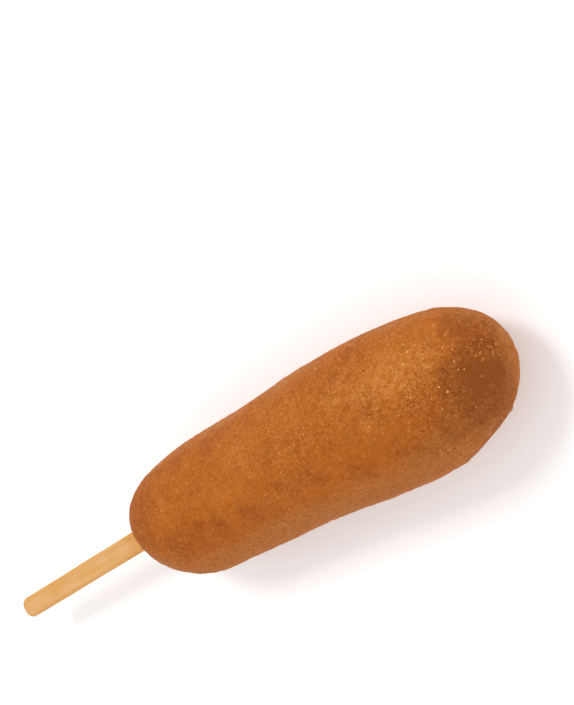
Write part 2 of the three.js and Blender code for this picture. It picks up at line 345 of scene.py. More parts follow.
# ---- Colours of the stick ----
WOOD_COLOURS = ((224, 166, 94), (229, 181, 126))
WOOD_LAYERS = [
    ("grain", 0.5, (222, 164, 90)),
    ("edge", 0.6, (222, 160, 82)),
    ("lines", 0.35, (204, 144, 78)),
    ("flecks", 0.5, (170, 108, 52)),
    ("greasy", 0.55, (219, 152, 74)),
    ("spots greasy", 0.8, (140, 80, 34)),
]
WOOD_BUMP = 0.04

# ---- Floor and light ----
FLOOR_SIDES = 96
FLOOR_FLAT = 1500.0
FLOOR_RINGS = (0.12, 0.4, 1.0)
FLOOR_BEND = 700.0
FLOOR_BEND_STEPS = 24
FLOOR_DROP = 0.02
FLOOR_COLOURS = ((250, 250, 250), (253, 253, 253))
FLOOR_CLOUDS = 180.0
FLOOR_GLOW = 0.16
WORLD_STRENGTH = 0.78
KEY_LIGHT = {"direction": (-0.02, 0.48, 0.88), "distance": 700, "size": 170, "power": 1.35}
WHITE = (1.0, 1.0, 1.0, 1.0)


# ---- mesh helpers ----


def new_piece(name, mesh, node=None, place=None):
    """Links a mesh as a piece that rides on the one body and may stand for a CAD node."""
    piece = bpy.data.objects.new(name, mesh)
    bpy.context.collection.objects.link(piece)
    if place is not None:
        piece.matrix_world = place
    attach(piece, "root")
    if node is not None:
        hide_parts(node)


def rows_of(items, name):
    """One vector of each item of a mesh, as rows."""
    flat = np.empty(len(items) * 3)
    items.foreach_get(name, flat)
    return flat.reshape(-1, 3)


def points_of(mesh):
    return rows_of(mesh.vertices, "co")


def store(mesh, name, values):
    """Keeps a value for each point of a mesh, for its material."""
    layer = mesh.attributes.new(name, "FLOAT", "POINT")
    layer.data.foreach_set("value", np.asarray(values, dtype=np.float32))


def smoothstep(low, high, values):
    t = np.clip((values - low) / (high - low), 0.0, 1.0)
    return t * t * (3.0 - 2.0 * t)


def fractal(points, size, octaves, shift):
    """Soft noise of about -1 to 1 at points in metres, with features about size millimetres wide."""
    scaled = points / (size * MM) + shift
    return np.array([noise.fractal(Vector(p), 1.0, 2.0, octaves) for p in scaled])


def blob(points, centre, reach):
    """Distance from a centre in millimetres, as a share of the reach along each axis."""
    away = (points / MM - np.array(centre)) / np.array(reach)
    return np.linalg.norm(away, axis=1)


def soft_spots(points, spots):
    """Adds up soft round spots at each point, each a place, a radius in millimetres and a strength."""
    total = np.zeros(len(points))
    for *place, radius, strength in spots:
        total += strength * np.exp(-(blob(points, place, (radius,) * 3) ** 2))
    return total


# ---- crust ----


def outer_faces(skin):
    """The faces of a bmesh that are joined to its top by no sharp edge."""
    limit = math.radians(SHARP_EDGE)
    top = max(skin.faces, key=lambda face: face.calc_center_median().z)
    found, queue = {top}, [top]
    while queue:
        for edge in queue.pop().edges:
            if edge.calc_face_angle(math.pi) < limit:
                fresh = [face for face in edge.link_faces if face not in found]
                found.update(fresh)
                queue.extend(fresh)
    return found


def outer_skin(node):
    """The node's outside as a closed mesh, without the socket that holds the stick."""
    skin = bmesh.new()
    skin.from_mesh(node.data)
    bmesh.ops.remove_doubles(skin, verts=skin.verts, dist=WELD_REACH * MM)
    outside = outer_faces(skin)
    bmesh.ops.delete(skin, geom=[face for face in skin.faces if face not in outside], context="FACES")
    bmesh.ops.holes_fill(skin, edges=[edge for edge in skin.edges if edge.is_boundary], sides=0)
    bmesh.ops.triangulate(skin, faces=skin.faces)
    mesh = bpy.data.meshes.new("skin")
    skin.to_mesh(mesh)
    skin.free()
    return mesh


def evenly_meshed(mesh):
    """The same form in small even faces, with the facets of the solid smoothed away."""
    holder = bpy.data.objects.new("holder", mesh)
    bpy.context.collection.objects.link(holder)
    voxels = holder.modifiers.new("voxels", "REMESH")
    voxels.mode = "VOXEL"
    voxels.voxel_size = CRUST_VOXEL * MM
    even = holder.modifiers.new("even", "SMOOTH")
    even.factor = EVEN_FACTOR
    even.iterations = EVEN_PASSES
    graph = bpy.context.evaluated_depsgraph_get()
    fine = bpy.data.meshes.new_from_object(holder.evaluated_get(graph))
    bpy.data.objects.remove(holder)
    return fine


def dark_share(points, edge):
    """How far each point lies in the dark zone, from 0 to 1. The given values move the zone's edge."""
    shares = [
        strength * (1.0 - smoothstep(*DARK_FADE, blob(points, centre, reach) + edge))
        for centre, reach, strength in DARK
    ]
    return np.maximum.reduce(shares)


def bare_share(points, edge):
    """How bare of crust each point is, from 0 to 1. The given values move the places' edges."""
    nearest = np.minimum.reduce([blob(points, centre, reach) for centre, reach in PATCHES])
    return 1.0 - smoothstep(*PATCH_FADE, nearest + edge)


def painted_sheen_share(points, normals, wander):
    """How much painted sheen each point has, from 0 to 1: a broken band on the FAR_SIDE and a few places."""
    far = smoothstep(*FAR_FADE, normals @ np.array(FAR_SIDE) + FAR_WANDER * wander)
    far *= smoothstep(*FAR_LEAN, normals[:, 2] + FAR_LEAN_WANDER * wander)
    far *= np.clip(FAR_MIDDLE + FAR_SWING * fractal(points, *FAR_BREAKS), *FAR_LIMITS)
    return np.clip(far + soft_spots(points, PAINTED_SHEEN_SPOTS), 0.0, 1.0)


def painted_reflection_share(points, normals, wander, dark):
    """How much painted reflection each point has, from about 0 to 1: the whole side that it faces, and spots
    of painted sheen.
    """
    facing = normals @ np.array(PALE_SIDE) + PALE_WANDER * wander
    pale = smoothstep(*PALE_FADE, facing) * (1.0 - dark)
    return np.maximum(pale, soft_spots(points, RIM_SHEEN_SPOTS))


def tones(points, wander, speckle):
    """How brown each point is, from golden below nought to brown above it."""
    large, small = CLOUDS_STRENGTHS
    tone = large * fractal(points, *CLOUDS) + small * fractal(points, *SMALL_CLOUDS)
    along, across = TONES_RAGGED
    ragged = np.stack([along * wander, across * speckle, np.zeros(len(points))], axis=1) * MM
    tone += TONES_STRENGTH * soft_spots(points + ragged, TONES)
    return np.clip(tone, -TONE_LIMIT, TONE_LIMIT)


def crust_masks(points, normals, wander, speckle):
    """What the crust is like at each point, by name: the values that its relief and its material use."""
    along, across = PATCH_RAGGED
    patch = bare_share(points, along * wander + across * speckle)
    dark = dark_share(points, DARK_RAGGED * wander + DARK_RAGGED * speckle)
    tip = smoothstep(*TIP_FADE, points[:, 0] / MM + wander)
    dark = np.maximum(dark, TIP_DARK * tip)
    frosted = np.clip(soft_spots(points, MEAL_AND_HIGHLIGHT) * (1.0 + MEAL_AND_HIGHLIGHT_WANDER * wander), 0.0, 1.0)
    mealy = np.clip(MEALY_MIDDLE + soft_spots(points, MEALY) + MEALY_WANDER * wander, *MEALY_LIMITS)
    return {
        "patch": patch,
        "pale": painted_reflection_share(points, normals, wander, dark),
        "far": painted_sheen_share(points, normals, wander),
        "tone": tones(points, wander, speckle),
        "frosted": frosted * (1.0 - dark),
        "dark": dark,
        "mealy": mealy,
    }


def tree_of(points):
    """The points in a tree, for finding those near a place."""
    tree = KDTree(len(points))
    for index, point in enumerate(points):
        tree.insert(point, index)
    tree.balance()
    return tree


def spot_heights(tree, points, spots):
    """Adds up soft round spots, each a place, a radius and a height in millimetres."""
    heights = np.zeros(len(points))
    for place, radius, height in spots:
        for _, index, away in tree.find_range(place, SPOT_END * radius * MM):
            heights[index] += height * math.exp(-((away / (radius * MM)) ** 2))
    return heights


def random_spots(points, rng, count, radius, height):
    places = points[rng.integers(0, len(points), count)]
    return zip(places, rng.uniform(*radius, count), rng.uniform(*height, count))


def crust_heights(points, masks):
    """The crust's relief at each point, in millimetres."""
    rng = np.random.default_rng(CRUST_SEED)
    tree = tree_of(points)
    rough = 1.0 - PATCH_SMOOTHNESS * masks["patch"]
    heights = SWELL_HEIGHT * fractal(points, *SWELLS)
    heights += RIPPLE_HEIGHT * rough * fractal(points, *RIPPLES)
    heights += GRIT_HEIGHT * rough * masks["mealy"] * fractal(points, *GRIT)
    pits = spot_heights(tree, points, random_spots(points, rng, **PITS))
    pimples = spot_heights(tree, points, random_spots(points, rng, **PIMPLES))
    crags = [(np.array(place) * MM, radius, height) for *place, radius, height in CRAGS]
    heights += (pits + pimples) * rough + spot_heights(tree, points, crags)
    heights -= PATCH_DEPTH * masks["patch"]
    return heights


def stick_distance(points, stick):
    """Distance in millimetres from the stick's surface, for points round it."""
    local = (points - np.array(stick["origin"])) @ np.array(stick["axes"]).T / MM
    beyond = np.maximum(np.abs(local[:, 1:]) - np.array(stick["half"][1:]), 0.0)
    return np.linalg.norm(beyond, axis=1)


def collar_heights(points, stick, speckle):
    """The lip of batter round the stick, in millimetres."""
    at_stick = points[:, 0] < stick["entry"] + COLLAR_LENGTH * MM
    nearness = np.exp(-((stick_distance(points, stick) / COLLAR_REACH) ** 2))
    lip = COLLAR_HEIGHT * nearness * (1.0 + COLLAR_UNEVEN * speckle)
    return np.where(at_stick, lip, 0.0)


def make_crust(node, stick):
    mesh = evenly_meshed(outer_skin(node))
    mesh.name = "crust"
    points, normals = points_of(mesh), rows_of(mesh.vertex_normals, "vector")
    wander = fractal(points, *WANDER)
    speckle = fractal(points, *SPECKLE)
    masks = crust_masks(points, normals, wander, speckle)
    heights = crust_heights(points, masks) + collar_heights(points, stick, speckle)
    on_flat = 1.0 - smoothstep(*FLAT_FADE, points[:, 2] / MM)
    heights *= 1.0 - on_flat
    points = points + normals * heights[:, None] * MM
    points[:, 2] = np.maximum(points[:, 2], 0.0)
    mesh.vertices.foreach_set("co", points.ravel())
    mesh.update()
    for name, values in masks.items():
        store(mesh, name, values)
    mesh.shade_smooth()
    return mesh


# ---- grains, crumbs and specks ----


def surface_of(mesh, matrix):
    """The mesh's surface, placed by a matrix, for finding the nearest points on it."""
    points = [matrix @ Vector(point) for point in points_of(mesh)]
    return BVHTree.FromPolygons(points, [polygon.vertices[:] for polygon in mesh.polygons])


def set_on(surface, place, rng, points, sink):
    """The points moved to lie on a surface at a place, turned at random and sunk by a depth in metres."""
    point, normal, _, _ = surface.find_nearest(Vector(place))
    turn = normal.to_track_quat("Z", "Y") @ Quaternion((0, 0, 1), rng.uniform(0, 2 * math.pi))
    matrix = np.array(turn.to_matrix())
    return points @ matrix.T + np.array(point - normal * sink)


def set_along(surface, start, end, points, sink):
    """The points moved to lie on a surface with X from a start towards an end, sunk by a depth in metres."""
    start, end = Vector(start) * MM, Vector(end) * MM
    point, normal, _, _ = surface.find_nearest((start + end) / 2)
    along = end - start
    along = (along - normal * along.dot(normal)).normalized()
    rows = np.array([along, normal.cross(along), normal])
    return points @ rows + np.array(point - normal * sink)


def joined(name, parts):
    """One mesh from a list of (points, faces, tone), with each part's tone kept at its points."""
    points, faces, values, base = [], [], [], 0
    for part_points, part_faces, tone in parts:
        points.append(part_points)
        faces.extend([[base + i for i in face] for face in part_faces])
        values.extend([tone] * len(part_points))
        base += len(part_points)
    mesh = bpy.data.meshes.new(name)
    mesh.from_pydata(np.concatenate(points).tolist(), [], faces)
    store(mesh, "tone", values)
    mesh.shade_smooth()
    return mesh


def pebble(rng, radius, squash):
    """A small uneven grain round the origin, in metres."""
    form = bmesh.new()
    bmesh.ops.create_icosphere(form, subdivisions=1, radius=1.0)
    points = np.array([vertex.co for vertex in form.verts])
    faces = [[vertex.index for vertex in face.verts] for face in form.faces]
    form.free()
    stretch = rng.uniform(*PEBBLE_STRETCH)
    points = points * rng.uniform(*PEBBLE_UNEVEN, (len(points), 1)) * stretch
    points[:, 2] *= squash
    return points * radius * MM, faces


def pebble_on(surface, place, rng, radius, squash, sink):
    """A grain set on a surface: its points and its faces."""
    points, faces = pebble(rng, radius, squash)
    return set_on(surface, place, rng, points, sink * radius * MM), faces


def flake_faces(along, across):
    """The faces of a flake: its top, its underside, and the side that joins their borders."""
    faces, half = [], along * across
    for i in range(along - 1):
        for j in range(across - 1):
            a, b = i * across + j, (i + 1) * across + j
            faces.append([a, b, b + 1, a + 1])
            faces.append([half + a, half + a + 1, half + b + 1, half + b])
    border = [(i * across, (i + 1) * across) for i in range(along - 1)]
    border += [((along - 1) * across + j, (along - 1) * across + j + 1) for j in range(across - 1)]
    border += [((i + 1) * across - 1, i * across - 1) for i in range(along - 1, 0, -1)]
    border += [(j + 1, j) for j in range(across - 2, -1, -1)]
    faces.extend([[a, half + a, half + b, b] for a, b in border])
    return faces


def flake(rng, length):
    """A thin curled flake of crust round the origin, in metres, closed all round."""
    along, across = FLAKE_POINTS
    width = min(length, FLAKE_WIDEST) * rng.uniform(0.32, 0.6)
    thick = rng.uniform(0.16, 0.3)
    curl = rng.uniform(-0.25, 0.35)
    u, v = np.meshgrid(np.linspace(-1, 1, along), np.linspace(-1, 1, across), indexing="ij")
    edge = np.sqrt(np.maximum(1 - u**2, 0.02)) * rng.uniform(0.7, 1.15, u.shape)
    x = u * length / 2 * rng.uniform(0.85, 1.1, u.shape)
    y = v * edge * width / 2
    lift = curl * u**2 * length / 3 + rng.uniform(-0.04, 0.04, u.shape)
    crown = thick * np.sqrt(np.maximum(1 - u**2, 0)) * np.sqrt(np.maximum(1 - v**2, 0))
    top = np.stack([x, y, lift + crown * rng.uniform(0.6, 1.2, u.shape)], -1).reshape(-1, 3)
    low = np.stack([x, y, lift - FLAKE_BELLY], -1).reshape(-1, 3)
    return np.concatenate([top, low]) * MM, flake_faces(along, across)


def scattered_places(mesh, rng, count, chance_of):
    """Points of the mesh drawn at random, where chance_of gives the chance of each."""
    points = points_of(mesh)
    chance = chance_of(points)
    picks = rng.choice(len(points), count, replace=False, p=chance / chance.sum())
    return points[picks]


def high_enough(points):
    return points[:, 2] > LOWEST_PLACE * MM


def grain_chance(points):
    """The chance of a grain at each point of the crust."""
    middle, *limits = CLUSTERS_CHANCE
    clusters = np.clip(middle + fractal(points, *GRAIN_CLUSTERS), *limits) ** 2
    middle, *limits = MEALY_CHANCE
    mealy = np.clip(middle + soft_spots(points, MEALY), *limits) ** 2
    rough = (1.0 - BARE_LOSS * bare_share(points, 0.0)) * (1.0 - DARK_LOSS * dark_share(points, 0.0))
    return clusters * mealy * rough * high_enough(points)


def make_grains(crust, surface):
    rng = np.random.default_rng(CRUST_SEED + 1)
    low, high = GRAINS["radius"]
    parts = []
    for place in scattered_places(crust, rng, GRAINS["count"], grain_chance):
        radius = low + (high - low) * rng.uniform() ** GRAIN_SMALLNESS
        grain = pebble_on(surface, place, rng, radius, **GRAIN_SHAPE)
        parts.append((*grain, rng.uniform()))
    for place in BIG_GRAINS:
        radius = rng.uniform(*BIG_GRAIN_RADIUS)
        grain = pebble_on(surface, np.array(place) * MM, rng, radius, **BIG_GRAIN_SHAPE)
        parts.append((*grain, 1.0))
    return joined("grains", parts)


def make_crumbs(surface):
    rng = np.random.default_rng(CRUST_SEED + 2)
    parts = []
    for start, end in FLAKES:
        points, faces = flake(rng, FLAKE_STRETCH * math.dist(start, end))
        tone = rng.uniform() ** FLAKE_TONE_POWER
        parts.append((set_along(surface, start, end, points, FLAKE_SINK * MM), faces, tone))
    for start, end in SLIVERS:
        points, faces = flake(rng, math.dist(start, end))
        points[:, 1] *= SLIVER_WIDTH
        parts.append((set_along(surface, start, end, points, FLAKE_SINK * MM), faces, SLIVER_TONE))
    spread = rng.normal(0, 1, (CRUMBS["count"], 3)) * np.array(CRUMB_SPREAD)
    for place in (np.array(CRUMB_CENTRE) + spread) * MM:
        points, faces = flake(rng, rng.uniform(*CRUMBS["length"]))
        points = set_on(surface, place, rng, points, CRUMBS["sink"] * MM)
        parts.append((points, faces, rng.uniform(*CRUMBS["tone"])))
    return joined("crumbs", parts)


def stick_speck_places(rng, stick):
    """Places on the stick's edges near the batter, in metres."""
    _, half_width, half_thick = stick["half"]
    count = STICK_SPECKS["count"]
    nearest, farthest = STICK_SPECKS["along"]
    share = rng.uniform(0.0, 1.0, count) ** STICK_SPECK_CROWDING
    along = stick_entry(stick) - nearest - (farthest - nearest) * share
    across = rng.choice([-1.0, 1.0], count) * half_width * rng.uniform(*STICK_SPECKS["across"], count)
    up = rng.choice([-1.0, 1.0, 1.0], count) * half_thick
    local = np.stack([along, across, up], -1) * MM
    return local @ np.array(stick["axes"]) + np.array(stick["origin"])


def make_specks(crust, surface, stick, stick_surface):
    rng = np.random.default_rng(CRUST_SEED + 3)
    parts = []
    for place in scattered_places(crust, rng, SPECKS["count"], high_enough):
        radius = rng.uniform(*SPECKS["radius"])
        speck = pebble_on(surface, place, rng, radius, **SPECK_SHAPE)
        parts.append((*speck, rng.uniform()))
    points, faces = flake(rng, math.dist(*LONE_SPECK))
    parts.append((set_along(surface, *LONE_SPECK, points, LONE_SPECK_SINK * MM), faces, 0.0))
    for place in stick_speck_places(rng, stick):
        radius = rng.uniform(*STICK_SPECKS["radius"])
        speck = pebble_on(stick_surface, place, rng, radius, **SPECK_SHAPE)
        parts.append((*speck, STICK_SPECKS["tone"]))
    return joined("specks", parts)


# ---- stick ----


def measure_stick(node):
    """The stick from its solid: middle, axes as rows, half its sizes, and where the batter starts."""
    points = points_of(node.data)
    middle = (points.max(axis=0) + points.min(axis=0)) / 2
    _, _, axes = np.linalg.svd(points - points.mean(axis=0), full_matrices=False)
    along = axes[0] if axes[0][0] > 0 else -axes[0]
    up = axes[2] if axes[2][2] > 0 else -axes[2]
    rows = np.stack([along, np.cross(up, along), up])
    local = (points - middle) @ rows.T
    middle = middle + (local.max(axis=0) + local.min(axis=0)) / 2 @ rows
    half = (local.max(axis=0) - local.min(axis=0)) / 2 / MM
    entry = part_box("batter")[0].x
    return {"origin": middle.tolist(), "axes": rows.tolist(), "half": half.tolist(), "entry": entry}


def stick_entry(stick):
    """Where the stick goes into the batter, in millimetres along its own frame."""
    return (stick["entry"] - stick["origin"][0]) / MM


def section(half_width, half_thick):
    """A rounded rectangle of points, starting at the right and going round."""
    centre = Vector((half_width - STICK_CORNER, half_thick - STICK_CORNER))
    points = []
    for step in range(STICK_SIDES):
        angle = 2 * math.pi * (step + 0.5) / STICK_SIDES
        side = Vector((math.cos(angle), math.sin(angle)))
        # Where a ray at this angle leaves the rounded rectangle, by bisection on its distance.
        low, high = 0.0, half_width * 2
        for _ in range(SECTION_STEPS):
            reach = (low + high) / 2
            over = Vector((max(abs(side.x) * reach - centre.x, 0), max(abs(side.y) * reach - centre.y, 0)))
            low, high = (reach, high) if over.length < STICK_CORNER else (low, reach)
        points.append(side * low)
    return np.array(points)


def stick_rings(half_length, half_width, half_thick):
    """The stick's points ring by ring along X, rounded in plan at both ends, and the number of rings."""
    plain = np.linspace(0, half_length - half_width, STICK_HALF_RINGS)
    rounded = half_length - half_width * (1 - np.sin(np.linspace(0, math.pi / 2, STICK_END_RINGS)))
    right = np.concatenate([plain[:-1], rounded])
    places = np.concatenate([-right[::-1], right[1:]])
    outline = section(half_width, half_thick)
    thinnest, growth = STICK_END_THICKNESS
    rings = []
    for x in places:
        inward = min(max((half_length - abs(x)) / half_width, 0.0), 1.0)
        share = math.sqrt(max(1 - (1 - inward) ** 2, 0.0))
        y = outline[:, 0] * max(share, STICK_END_WIDTH)
        z = outline[:, 1] * (thinnest + growth * share)
        rings.append(np.stack([np.full(STICK_SIDES, x), y, z], -1))
    return np.concatenate(rings), len(places)


def stick_faces(rings):
    """The faces between the stick's rings and over its two ends."""
    faces = []
    for ring in range(rings - 1):
        for side in range(STICK_SIDES):
            a = ring * STICK_SIDES + side
            b = ring * STICK_SIDES + (side + 1) % STICK_SIDES
            faces.append([a, b, b + STICK_SIDES, a + STICK_SIDES])
    last = (rings - 1) * STICK_SIDES
    faces.append(list(range(STICK_SIDES))[::-1])
    faces.append([last + side for side in range(STICK_SIDES)])
    return faces


def grain_stick(points):
    """Moves the stick's points to give it a faint grain and slightly wavy edges."""
    stretched = points * np.array(WOOD_GRAIN_STRETCH) * WOOD_GRAIN_FINENESS
    grain = np.array([noise.fractal(Vector(p), 1.0, 2.0, 3) for p in stretched])
    places = zip(points[:, 0] * WAVE_FINENESS, 3.0 * np.sign(points[:, 1]))
    wave = np.array([noise.noise(Vector((along, edge, 0.0))) for along, edge in places])
    points[:, 1:] *= 1 + grain[:, None] * WOOD_GRAIN_HEIGHT
    points[:, 1] += wave * WAVE_HEIGHT


def make_stick(stick):
    """The stick in its own frame, X along it."""
    _, half_width, _ = stick["half"]
    points, rings = stick_rings(*stick["half"])
    grain_stick(points)
    mesh = bpy.data.meshes.new("wooden_stick")
    mesh.from_pydata((points * MM).tolist(), [], stick_faces(rings))
    entry = stick_entry(stick)
    start, full = STICK_GREASE
    store(mesh, "edge", smoothstep(*STICK_EDGE_FADE, np.abs(points[:, 1]) / half_width))
    store(mesh, "greasy", smoothstep(entry - start, entry - full, points[:, 0]))
    mesh.shade_smooth()
    return mesh


# ---- materials ----


def colour(red, green, blue):
    """A linear colour from display values of 0 to 255."""
    values = [v / 255 for v in (red, green, blue)]
    linear = [v / 12.92 if v <= 0.04045 else ((v + 0.055) / 1.055) ** 2.4 for v in values]
    return (*linear, 1.0)


class Shade:
    """A short way to write a node material. Where a value is asked for, a number or a socket will do."""

    def __init__(self, name):
        self.material = bpy.data.materials.new(name)
        self.material.use_nodes = True
        self.tree = self.material.node_tree
        self.tree.nodes.clear()

    def node(self, kind, *values, **settings):
        """Adds a node with the given settings, and fills its inputs in order."""
        made = self.tree.nodes.new("ShaderNode" + kind)
        for key, value in settings.items():
            setattr(made, key, value)
        for socket, value in zip(made.inputs, values):
            self.fill(socket, value)
        return made

    def fill(self, socket, value):
        if isinstance(value, bpy.types.NodeSocket):
            self.tree.links.new(value, socket)
        else:
            socket.default_value = value

    def math(self, operation, *values, clamp=False):
        return self.node("Math", *values, operation=operation, use_clamp=clamp).outputs[0]

    def plus(self, value, factor, base=1.0):
        """The base plus the value times the factor."""
        return self.math("MULTIPLY_ADD", value, factor, base)

    def product(self, first, *others):
        for other in others:
            first = self.math("MULTIPLY", first, other)
        return first

    def remap(self, value, low, high, to_low=0.0, to_high=1.0):
        return self.node("MapRange", value, low, high, to_low, to_high).outputs[0]

    def blend(self, share, first, second):
        made = self.node("Mix", data_type="RGBA")
        for socket, value in zip((made.inputs[0], made.inputs[6], made.inputs[7]), (share, first, second)):
            self.fill(socket, value)
        return made.outputs[2]

    def layer(self, tint, mask, strength, over):
        """The tint with a colour laid over it where the mask says."""
        return self.blend(self.math("MULTIPLY", mask, strength, clamp=True), tint, over)

    def layers(self, tint, masks, table):
        """The tint with a table's colours laid over it in order, each where its masks' product says."""
        for names, strength, over in table:
            mask = self.product(*[masks[name] for name in names.split()])
            tint = self.layer(tint, mask, strength, colour(*over))
        return tint

    def attribute(self, name):
        return self.node("Attribute", attribute_name=name).outputs["Fac"]

    def place(self, stretch=(1.0, 1.0, 1.0)):
        """Object coordinates in millimetres, stretched."""
        scaled = self.node("Mapping", self.node("TexCoord").outputs["Object"])
        scaled.inputs["Scale"].default_value = [s / MM for s in stretch]
        return scaled.outputs[0]

    def noise(self, place, size, detail=2.0, roughness=0.5):
        made = self.node("TexNoise")
        self.fill(made.inputs["Vector"], place)
        made.inputs["Scale"].default_value = 1.0 / size
        made.inputs["Detail"].default_value = detail
        made.inputs["Roughness"].default_value = roughness
        return made.outputs["Fac"]

    def swing(self, place, size, detail, roughness):
        """Noise that swings round 0."""
        return self.math("SUBTRACT", self.noise(place, size, detail, roughness), 0.5)

    def noise_mask(self, place, size, detail, roughness, low, high):
        """Noise, with its low value turned into 0 and its high value into 1."""
        return self.remap(self.noise(place, size, detail, roughness), low, high)

    def spots(self, place, size, share, radius):
        """Round spots in a share of the cells of a given size: up to 1 inside a spot, 0 outside."""
        made = self.node("TexVoronoi")
        self.fill(made.inputs["Vector"], place)
        made.inputs["Scale"].default_value = 1.0 / size
        pick = self.node("SeparateColor", made.outputs["Color"])
        chosen = self.math("LESS_THAN", pick.outputs[0], share)
        least, spread = SPOT_SIZES
        reach = self.plus(pick.outputs[1], radius * spread / size, radius * least / size)
        near = self.remap(made.outputs["Distance"], reach, self.product(reach, SPOT_CORE))
        faintest, growth = SPOT_STRENGTHS
        strength = self.plus(pick.outputs[2], growth, faintest)
        return self.product(chosen, strength, near)

    def finish(self, tint, roughness, specular, height=None, bump=0.0, glow=0.0):
        """Puts a surface together. The bump is the full height in millimetres."""
        shader = self.node("BsdfPrincipled")
        self.fill(shader.inputs["Base Color"], tint)
        self.fill(shader.inputs["Roughness"], roughness)
        shader.inputs["Specular IOR Level"].default_value = specular
        shader.inputs["Emission Color"].default_value = WHITE
        shader.inputs["Emission Strength"].default_value = glow
        if height is not None:
            bumped = self.node("Bump")
            bumped.inputs["Distance"].default_value = bump * MM
            self.fill(bumped.inputs["Height"], height)
            self.tree.links.new(bumped.outputs[0], shader.inputs["Normal"])
        output = self.node("OutputMaterial")
        self.tree.links.new(shader.outputs[0], output.inputs[0])
        return self.material


def stored_masks(shade, ragged, broken):
    """The crust's stored masks, three of them broken up by noise."""
    masks = {name: shade.attribute(name) for name in ("pale", "frosted", "far")}
    masks["tone"] = shade.remap(shade.plus(ragged, 2.2, shade.attribute("tone")), -1.2, 1.2)
    masks["dark"] = shade.remap(shade.plus(broken, 0.7, shade.attribute("dark")), 0.08, 0.86)
    masks["patch"] = shade.remap(shade.plus(broken, 1.4, shade.attribute("patch")), 0.15, 0.95)
    # Dark and bare places calm the meal, and the side with the painted reflection has more pores.
    calm = shade.plus(masks["dark"], -0.6)
    covered = shade.plus(masks["patch"], -0.9)
    masks["mealy"] = shade.product(shade.attribute("mealy"), calm, covered)
    masks["porous"] = shade.product(masks["mealy"], shade.plus(masks["pale"], 1.9))
    masks["broken_meal_and_highlight"] = shade.product(masks["frosted"], shade.plus(ragged, 6.0, 0.7))
    return masks


def fine_masks(shade, place, tone, frosted):
    """The crust's masks that come from noise and round spots in its material."""
    veins = shade.math("ABSOLUTE", shade.swing(place, 1.3, 2, 0.6))
    return {
        "mottle": shade.noise_mask(place, 1.2, 4, 0.72, 0.42, 0.68),
        "curds": shade.noise_mask(place, 0.55, 2, 0.6, 0.48, 0.72),
        "pores": shade.noise_mask(place, 0.62, 3, 0.65, 0.44, 0.30),
        "lilac": shade.noise_mask(place, 0.45, 2, 0.6, 0.48, 0.6),
        "clumps": shade.noise_mask(place, 1.15, 3, 0.75, 0.48, 0.6),
        "streaks": shade.noise_mask(shade.place((0.5, 0.5, 1.4)), 1.0, 3, 0.7, 0.5, 0.68),
        "veins": shade.remap(veins, 0.035, 0.01),
        "meal": shade.spots(place, 0.46, shade.plus(tone, -0.35, 0.8), 0.26),
        "glints": shade.spots(place, 0.9, shade.plus(frosted, 0.3, 0.34), 0.22),
        "burnt": shade.spots(place, 1.7, 0.12, 0.2),
        "dots": shade.spots(place, 0.9, 0.5, 0.22),
    }


def crust_material():
    shade = Shade("fried_crust")
    place = shade.place()
    ragged = shade.swing(place, 2.0, 4, 0.75)
    broken = shade.swing(place, 1.0, 3, 0.65)
    masks = stored_masks(shade, ragged, broken)
    masks.update(fine_masks(shade, place, masks["tone"], masks["frosted"]))

    tint = shade.blend(masks["tone"], colour(*CRUST_GOLDEN), colour(*CRUST_BROWN))
    tint = shade.layers(tint, masks, CRUST_LAYERS)
    first, second = BARE_COLOURS
    bare = shade.blend(shade.remap(ragged, *BARE_EDGES), colour(*first), colour(*second))
    tint = shade.layer(tint, masks["patch"], BARE_STRENGTH, bare)
    tint = shade.layers(tint, masks, MEAL_LAYERS)

    meal = shade.math("MAXIMUM", masks["meal"], masks["glints"])
    roughness = shade.remap(meal, 0.0, 1.0, *CRUST_ROUGHNESS)
    roughness = shade.plus(masks["patch"], PATCH_GLOSS, roughness)
    height = 0.0
    for name, amount in CRUST_BUMPS.items():
        height = shade.plus(masks[name], amount, height)
    height = shade.product(height, masks["mealy"])
    return shade.finish(tint, roughness, 0.05, height, CRUST_BUMP)


def grain_material():
    shade = Shade("cornmeal_grain")
    tint = shade.blend(shade.attribute("tone"), colour(202, 120, 40), colour(246, 182, 98))
    shadow = shade.noise_mask(shade.place(), 0.2, 1, 0.5, 0.4, 0.6)
    tint = shade.layer(tint, shadow, 0.3, colour(180, 100, 34))
    return shade.finish(tint, 0.36, 0.3)


def crumb_material():
    shade = Shade("golden_crumb")
    tone = shade.attribute("tone")
    tint = shade.blend(tone, colour(176, 96, 28), colour(236, 156, 54))
    dull = shade.remap(tone, 0.0, -0.2)
    tint = shade.layer(tint, dull, 1.0, colour(184, 114, 66))
    speckle = shade.noise_mask(shade.place(), 0.35, 3, 0.7, 0.4, 0.62)
    tint = shade.layer(tint, speckle, 0.6, colour(152, 80, 26))
    grit = shade.noise(shade.place(), 0.16, 2)
    return shade.finish(tint, 0.5, 0.35, grit, 0.05)


def speck_material():
    shade = Shade("browned_speck")
    tint = shade.blend(shade.attribute("tone"), colour(88, 36, 12), colour(140, 66, 22))
    return shade.finish(tint, 0.9, 0.0)


